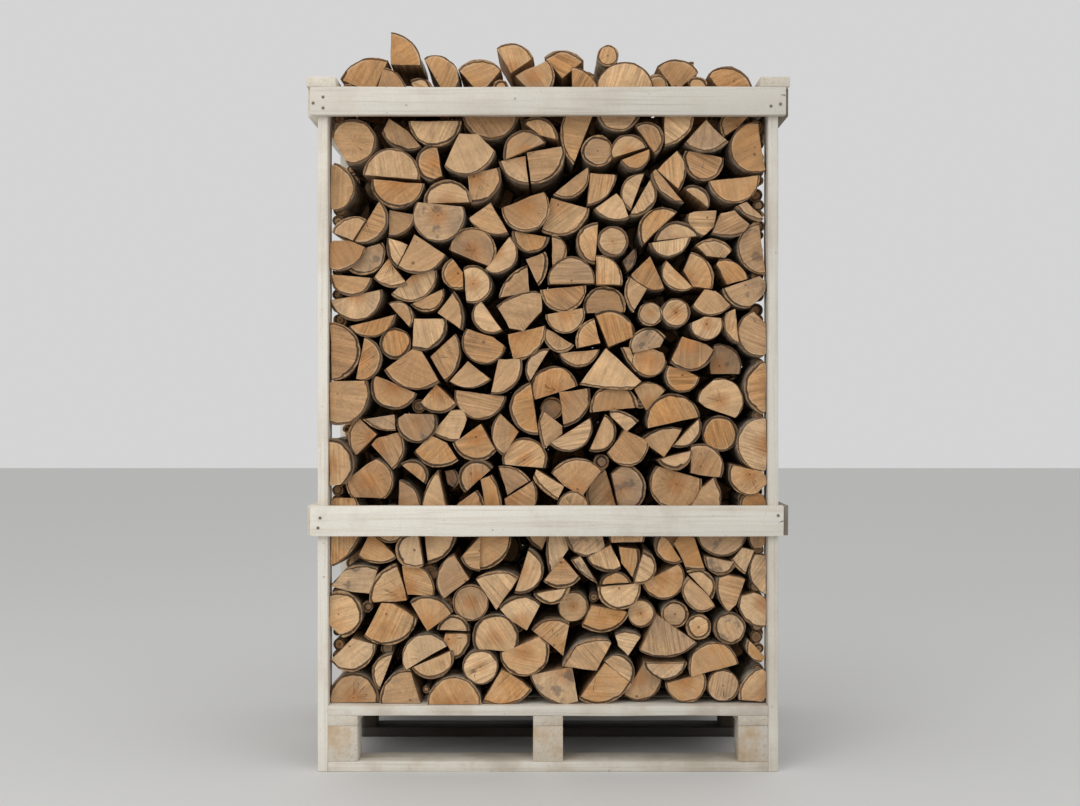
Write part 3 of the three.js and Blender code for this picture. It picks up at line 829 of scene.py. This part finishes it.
def one_log(name, letters, numbers, front=FRONT_FACE, back=BACK_FACE):
    """Splits one log out of a round and gives it its length."""
    numbers = [value * 0.01 for value in numbers]
    if "R" in letters:
        x, z, radius = numbers
        planes = []
    else:
        bulge, ax, az, bx, bz = numbers[:5]
        x, z, radius = heart_of(bulge, ax, az, bx, bz)
        corners = [(bx, bz)]
        corners += list(zip(numbers[5::2], numbers[6::2]))
        corners += [(ax, az)]
        planes = list(zip(corners[:-1], corners[1:]))
    barky = False
    front += max(-0.009, min(0.02, rng.gauss(0.001, 0.007)))
    if "+" in letters:
        front -= 0.006
    if "-" in letters:
        front += 0.022
    if "=" in letters:
        front += 0.035
    sides = int(min(110, max(20, 2 * math.pi * radius / 0.0105)))
    bpy.ops.mesh.primitive_circle_add(
        vertices=sides,
        radius=radius,
        fill_type="NGON",
        location=(x, front, z),
        rotation=(math.pi / 2, 0, 0),
    )
    log = settle(bpy.context.object, name)
    edit()
    for (px, pz), (qx, qz) in planes:
        cuts = [((px, front, pz), (qz - pz, 0, px - qx))]
        if min(abs(px), abs(qx)) > 0.474 and px * qx > 0:
            # the outermost logs lie against the posts and have lost their corners
            way = math.copysign(1, px)
            edge = way * 0.4785
            worn = rng.uniform(0.004, 0.012)
            cuts = [((edge, front, pz), (way, 0, 0))]
            cuts += [((edge, front, max(pz, qz) - worn), (way, 0, 1))]
            cuts += [((edge, front, min(pz, qz) + worn), (way, 0, -1))]
            barky = rng.random() < 0.55
        for at, outward in cuts:
            saw(at, outward, fill=False)
            bpy.ops.mesh.select_all(action="SELECT")
    done()
    for edge in log.data.edges:
        one, two = (log.data.vertices[i].co for i in edge.vertices)
        edge.select = (one - two).length > 0.0135
    for part in (log.data.vertices, log.data.polygons):
        part.foreach_set("select", [False] * len(part))
    bpy.context.tool_settings.mesh_select_mode = (False, True, False)
    bpy.ops.object.mode_set(mode="EDIT")
    bpy.ops.mesh.subdivide(number_cuts=2)
    bpy.ops.mesh.select_mode(type="FACE")
    bpy.ops.mesh.select_all(action="SELECT")
    bpy.ops.mesh.inset(thickness=0.0022, depth=0.0)
    bpy.ops.mesh.select_all(action="SELECT")
    done()
    count = len(log.data.vertices)
    mark(log, "inside", "FLOAT", [float(i >= count / 2) for i in range(count)])
    bpy.ops.object.mode_set(mode="EDIT")
    length = back - front
    for step in range(3):
        lean = (rng.gauss(0, 0.0013), length / 3, rng.gauss(0, 0.0013))
        bpy.ops.mesh.extrude_region_move(TRANSFORM_OT_translate={"value": lean})
    bpy.ops.mesh.select_all(action="SELECT")
    bpy.ops.mesh.normals_make_consistent(inside=False)
    done()
    mesh = log.data
    limit = radius * (1 - (1 - math.cos(math.pi / sides)) * 2.2) - 0.00002
    for finish in LOG_FINISHES:
        mesh.materials.append(finish)
    for face in mesh.polygons:
        if abs(face.normal.y) > 0.7:
            face.material_index = 0
        elif math.hypot(face.center.x - x, face.center.z - z) > limit - 0.0028:
            face.material_index = 2
        elif barky and abs(face.center.x) > 0.455 and face.normal.x * face.center.x > 0.3:
            face.material_index = 2
        else:
            face.material_index = 1
    look = look_of(letters)
    if z < 0.55 and "k" not in letters:
        # the wood low in the stack is painted paler, as painted light where the lamps reach it more fully
        look = (min(1.0, look[0] + 0.35),) + look[1:]
    mark(log, "heart", "FLOAT_VECTOR", [(v.co.x - x, v.co.z - z, v.co.y) for v in mesh.vertices])
    mark(log, "ring", "FLOAT", [radius] * len(mesh.vertices))
    mark(log, "tone", "FLOAT_COLOR", [look] * len(mesh.vertices))
    roughen(CLOUD_LOG, 0.0062)
    roughen(CLOUD_SPLINTER, 0.0036)
    bpy.ops.object.shade_smooth_by_angle(angle=math.radians(38))
    return log


front_logs = []
for number, (letters, *numbers) in enumerate(FRONT_LOGS, start=1):
    front_logs.append(one_log(f"log_{number:03d}", letters, numbers))

# the loose logs on top, from left to right: how each is split, and which way its bark
# faces, in degrees from the right
HEAP_LOGS = [
    ("R", 90), ("2", 112), ("2", 30), ("2", 43), ("2", 75), ("4", 28),
    ("2", 90), ("R", 90), ("2", 78), ("2", -10), ("2", 85), ("2", 50),
    ("R", 90), ("4", 90), ("2", 70), ("2", 82), ("2", 82), ("3", 72),
]
# how many degrees of the round each split keeps
SPLITS = {"2": 90, "3": 120, "4": 180}


def wedge(kind, left, right, low, high, facing):
    """The outline of a split log that fills this box, with its bark facing that way."""
    if kind == "R":
        return [(left + right) / 2, (low + high) / 2, (right - left + high - low) / 4]
    span = math.radians(SPLITS[kind])
    first = math.radians(facing) - span / 2
    arc = [first + span * i / 24 for i in range(25)]
    points = [(math.cos(a), math.sin(a)) for a in arc]
    every = points + [(0.0, 0.0)]
    xs = [p[0] for p in every]
    zs = [p[1] for p in every]

    def place(point):
        x = left + (point[0] - min(xs)) / (max(xs) - min(xs)) * (right - left)
        z = low + (point[1] - min(zs)) / (max(zs) - min(zs)) * (high - low)
        return x, z

    (ax, az), (bx, bz) = place(points[0]), place(points[-1])
    mx, mz = place(points[12])
    wide = math.hypot(bx - ax, bz - az)
    bulge = ((mx - ax) * (bz - az) - (mz - az) * (bx - ax)) / wide
    corner = [] if kind == "4" else list(place((0.0, 0.0)))
    return [bulge, ax, az, bx, bz] + corner


def box_cm(node):
    low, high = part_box(node)
    return low * 100, high * 100


def kept(piece):
    """Makes this a piece of the finished crate."""
    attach(piece, "root")
    return piece


heap = []
for number, (kind, facing) in enumerate(HEAP_LOGS, start=1):
    node = f"heap_log_{number:02d}"
    low, top = box_cm(node)
    numbers = wedge(kind, low.x, top.x, low.z, top.z, facing)
    letters = "R" if kind == "R" else ""
    log = one_log(f"heap_{number:02d}", letters, numbers, low.y * 0.01 + 0.003, top.y * 0.01)
    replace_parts(log, node)
    heap.append(kept(log))


def copies(logs, turn_axis, centre, shift=(0, 0, 0)):
    """Copies of these logs, turned half round and moved, as pieces of their own."""
    pick(*logs)
    bpy.ops.object.duplicate()
    made = list(bpy.context.selected_objects)
    for thing in made:
        thing.parent = None
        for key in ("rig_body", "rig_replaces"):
            if key in thing:
                del thing[key]
    bpy.ops.transform.rotate(value=math.pi, orient_axis=turn_axis, center_override=centre)
    bpy.ops.transform.translate(value=shift)
    bpy.ops.object.transform_apply(location=True, rotation=True, scale=True)
    return made


def joined(logs, name):
    pick(*logs)
    if len(logs) > 1:
        bpy.ops.object.join()
    whole = bpy.context.object
    whole.name = name
    whole.data.name = name
    return whole


def middle_of(thing):
    corners = [Vector(corner) for corner in thing.bound_box]
    return sum(corners, Vector()) / 8


def in_pieces(logs, name, node, levels):
    """Puts a row together in pieces of a few neighbouring logs, three across."""
    groups = {}
    for log in logs:
        spot = middle_of(log)
        key = (int((spot.x + 0.48) / 0.32), int((spot.z - 0.14) / 1.32 * levels))
        groups.setdefault(key, []).append(log)
    pieces = []
    for number, (key, group) in enumerate(sorted(groups.items()), start=1):
        pieces.append(kept(joined(group, f"{name}_{number:02d}")))
    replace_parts(pieces[0], node)
    return pieces


# the middle and back rows, stacked from the same splits turned about
middle_row = copies(front_logs, "Y", (0, 0, 0.8095), (0, 0.246, 0))
middle_heap = copies(heap, "Z", (0, -0.247, 0), (0, 0.246, -0.012))
back_row = copies(front_logs, "Z", (0, -0.247, 0), (0, 0.493, 0))
back_heap = copies(heap, "Z", (0, -0.247, 0), (0, 0.493, -0.006))
middle = joined(middle_row + middle_heap, "middle_row")
stack = in_pieces(front_logs, "front_logs", "log_row_front", 15)
stack += in_pieces(back_row, "back_logs", "log_row_back", 6)
stack.append(kept(joined(back_heap[:6], "back_heap_right")))
stack.append(kept(joined(back_heap[6:12], "back_heap_middle")))
stack.append(kept(joined(back_heap[12:], "back_heap_left")))
stack += heap

# where the crate is seen from, the front of the middle row, and the heights of the gaps at
# the left edge that stay open, all in metres
EYE = Vector((0, -3.69, 0.804))
MIDDLE_FACE = -0.1
OPEN_GAPS = [(1.325, 1.395), (1.155, 1.185), (0.725, 0.76), (0.41, 0.485), (0.185, 0.225)]


def daylight(pieces, step):
    """The places, at the front of the middle row, where one can see right through."""
    corners = []
    faces = []
    for piece in pieces:
        first = len(corners)
        corners += [vertex.co for vertex in piece.data.vertices]
        faces += [[first + i for i in face.vertices] for face in piece.data.polygons]
    solid = BVHTree.FromPolygons(corners, faces)
    found = []
    for column in range(int(-0.477 / step), int(0.477 / step) + 1):
        for level in range(int(0.145 / step), int(1.43 / step)):
            spot = Vector((column * step, FRONT_FACE, level * step))
            if spot.x < -0.452 and any(low < spot.z < high for low, high in OPEN_GAPS):
                continue
            way = spot - EYE
            if solid.ray_cast(EYE, way)[0] is None:
                found.append(EYE + way * ((MIDDLE_FACE - EYE.y) / way.y))
    return found


def fill_gaps(left):
    """Thin logs for the middle row, one wherever daylight shows."""
    added = []
    while left:
        near = [spot for spot in left if (spot - left[0]).length < 0.014]
        centre = sum(near, Vector()) / len(near)
        radius = max((spot - centre).length for spot in near) + 0.0055
        x = max(radius - 0.478, min(0.478 - radius, centre.x))
        numbers = [x * 100, centre.z * 100, radius * 100]
        # the dark k tone on these fillers is painted shade deep in the gap
        added.append(one_log("filler", rng.choice(["R=k", "R=b"]), numbers, MIDDLE_FACE, 0.12))
        left = [spot for spot in left if spot not in near]
    return added


for step in (0.0045, 0.003):
    middle = joined([middle] + fill_gaps(daylight([middle] + stack, step)), "middle_row")
kept(middle)
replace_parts(middle, "log_row_middle")


# ---------------------------------------------------------------- crate

CLOUD_BOARD = cloud("board_lumps", 0.11, 1)
SHORT_RAIL, SHORT_RAIL_END = "rail_mid_front", 0.5105


def board(node, axis, look, step=0.08, round_ends=0.0, soft=0.0018):
    """One sawn board in the place of its plain solid."""
    low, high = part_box(node)
    size = high - low
    bpy.ops.mesh.primitive_cube_add(size=1, location=(low + high) / 2, scale=size)
    made = settle(bpy.context.object, node.replace("block", "pallet_block") + "_wood")
    edit()
    bpy.ops.mesh.select_mode(type="FACE")
    cuts = max(1, round(size[axis] / step))
    for cut in range(1, cuts):
        at = low.copy()
        at[axis] = low[axis] + size[axis] * cut / cuts + rng.uniform(-0.008, 0.008)
        direction = [0, 0, 0]
        direction[axis] = 1
        bpy.ops.mesh.select_all(action="SELECT")
        saw(at, direction, clear=False, fill=False)
    done()
    if node == SHORT_RAIL:
        # its right end is sawn a little short and stays square
        edit()
        saw((SHORT_RAIL_END, 0, 0), (1, 0, 0))
        done()
        high.x = SHORT_RAIL_END
    if round_ends:
        ends = (low,) if node == SHORT_RAIL else (low, high)
        ease_ends(made, axis, ends, round_ends)
    pick(made)
    ease(soft)
    roughen(CLOUD_BOARD, 0.0022)
    bpy.ops.object.shade_smooth_by_angle(angle=math.radians(38))
    mesh = made.data
    mesh.materials.append(TIMBER[axis])
    mesh.materials.append(TIMBER_ENDS[axis])
    for face in mesh.polygons:
        face.material_index = 1 if abs(face.normal[axis]) > 0.8 else 0
    mark(made, "tone", "FLOAT_COLOR", [look] * len(mesh.vertices))
    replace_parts(made, node)
    return made


def ease_ends(made, axis, ends, width):
    """Rounds the corners at these ends of a rail, seen from the front."""
    done()
    mesh = made.data
    for part in (mesh.vertices, mesh.edges, mesh.polygons):
        part.foreach_set("select", [False] * len(part))
    for edge in mesh.edges:
        one, two = (mesh.vertices[i].co for i in edge.vertices)
        middle = (one[axis] + two[axis]) / 2
        at_end = min(abs(middle - end[axis]) for end in ends) < 0.0005
        edge.select = at_end and abs(one.y - two.y) > 0.01
    bpy.context.tool_settings.mesh_select_mode = (False, True, False)
    bpy.ops.object.mode_set(mode="EDIT")
    bpy.ops.mesh.bevel(offset=width, segments=3, affect="EDGES")
    done()


def nail(x, y, z, size=0.0033):
    bpy.ops.mesh.primitive_cylinder_add(
        vertices=14, radius=size, depth=0.003, location=(x, y, z), rotation=(math.pi / 2, 0, 0)
    )
    made = settle(bpy.context.object, "nail")
    ease(0.0006, 1)
    made.data.materials.append(NAIL)
    mark(made, "tone", "FLOAT_COLOR", [(1, 1, 1, 1)] * len(made.data.vertices))
    return made


NAILS = {
    "rail_top_front": [
        (-0.487, 1.4665), (-0.5085, 1.4535), (-0.487, 1.4427),
        (0.4828, 1.447), (0.5035, 1.4513),
    ],
    "rail_mid_front": [(-0.4936, 0.555), (-0.498, 0.5334), (0.4985, 0.5604)],
    "rail_top_back": [(-0.49, 1.463), (-0.505, 1.445), (0.49, 1.465), (0.504, 1.444)],
    "rail_mid_back": [(-0.49, 0.56), (-0.502, 0.535), (0.49, 0.562), (0.505, 0.534)],
}


# short cracks that open at the right ends of the front rails
CRACKS = {"rail_top_front": (0.5085, 1.471, 4), "rail_mid_front": (0.504, 0.5465, -24)}


def crack(x, y, z, turn):
    bpy.ops.mesh.primitive_cone_add(
        vertices=8, radius1=0.0011, radius2=0.0002, depth=0.011, location=(x, y, z),
        rotation=(0, math.radians(turn - 90), 0),
    )
    made = settle(bpy.context.object, "crack")
    made.data.materials.append(TIMBER_ENDS[2])
    mark(made, "tone", "FLOAT_COLOR", [(0.16, 0.9, 0.3, 0.5)] * len(made.data.vertices))
    return made


def look_for(node):
    """How bright, dirty and warm a board is, with its own number."""
    if node.startswith("block"):
        return (0.93, 0.55, 0.75, rng.random())
    if node.startswith(("bottom", "stringer", "deck")):
        return (0.97, 0.4, 0.15, rng.random())
    if node in ("rail_mid_right", "rail_top_right"):
        # the right side rails are darker and browner
        return (0.42, 0.6, 0.6, rng.random())
    # the top front rail is painted a little darker and the middle front rail brighter: painted shade and
    # painted light from how the lamps fall
    value = {"rail_top_front": 0.92, "rail_mid_front": 1.08}.get(node, 1.05)
    return (value, rng.uniform(0.1, 0.3), rng.uniform(0.0, 0.15), rng.random())


crate = {}
for node in sorted(frame["nodes"]):
    if node.startswith(("heap", "log_row")):
        continue
    low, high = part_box(node)
    size = high - low
    axis = max(range(3), key=lambda i: size[i])
    if node.startswith("block"):
        axis = 1
    ends = 0.006 if node.startswith("rail") and axis == 0 else 0.0
    if node == "rail_top_front":
        ends = 0.002
    made = board(node, axis, look_for(node), round_ends=ends)
    crate[node] = made
for node, places in NAILS.items():
    low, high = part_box(node)
    face = low.y if node.endswith("front") else high.y
    heads = [nail(x, face, z) for x, z in places]
    if node in CRACKS:
        x, z, turn = CRACKS[node]
        heads.append(crack(x, face, z, turn))
    pick(crate[node], *heads)
    bpy.ops.object.join()
for node, made in crate.items():
    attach(made, "root")


# ---------------------------------------------------------------- studio


def plain(name, colour, roughness=0.7):
    m = Finish(name)
    m.shader.inputs["Base Color"].default_value = colour
    m.shader.inputs["Roughness"].default_value = roughness
    return m.material


bpy.ops.mesh.primitive_plane_add(size=30, location=(0, 0, 0))
floor = bpy.context.object
floor.name = "floor"
floor.data.materials.append(plain("floor_paint", (0.66, 0.66, 0.65, 1)))


def lamp(name, place, aim, size, power, colour=(1, 1, 1)):
    bpy.ops.object.light_add(type="AREA", location=place)
    made = bpy.context.object
    made.name = name
    made.data.shape = "RECTANGLE"
    made.data.size, made.data.size_y = size
    made.data.energy = power
    made.data.color = colour
    way = Vector(aim) - Vector(place)
    made.rotation_euler = way.to_track_quat("-Z", "Y").to_euler()


lamp("key", (-2.2, -4.4, 2.9), (0, 0, 0.7), (2.6, 2.2), 62)
lamp("fill", (3.0, -4.4, 2.0), (0, 0, 0.7), (2.4, 2.4), 20)
lamp("top", (0, -1.2, 4.2), (0, 0, 0.8), (3.0, 2.4), 25)
world = bpy.data.worlds.new("studio")
bpy.context.scene.world = world
world.use_nodes = True
world.node_tree.nodes["Background"].inputs[0].default_value = (1, 1, 1, 1)
world.node_tree.nodes["Background"].inputs[1].default_value = 0.66

bpy.ops.object.camera_add(location=EYE, rotation=(math.pi / 2, 0, 0))
camera = bpy.context.object
camera.data.sensor_width = 36
camera.data.lens = 50.467
camera.data.shift_x = -0.0074
bpy.context.scene.camera = camera
bpy.context.scene.view_settings.view_transform = "Standard"
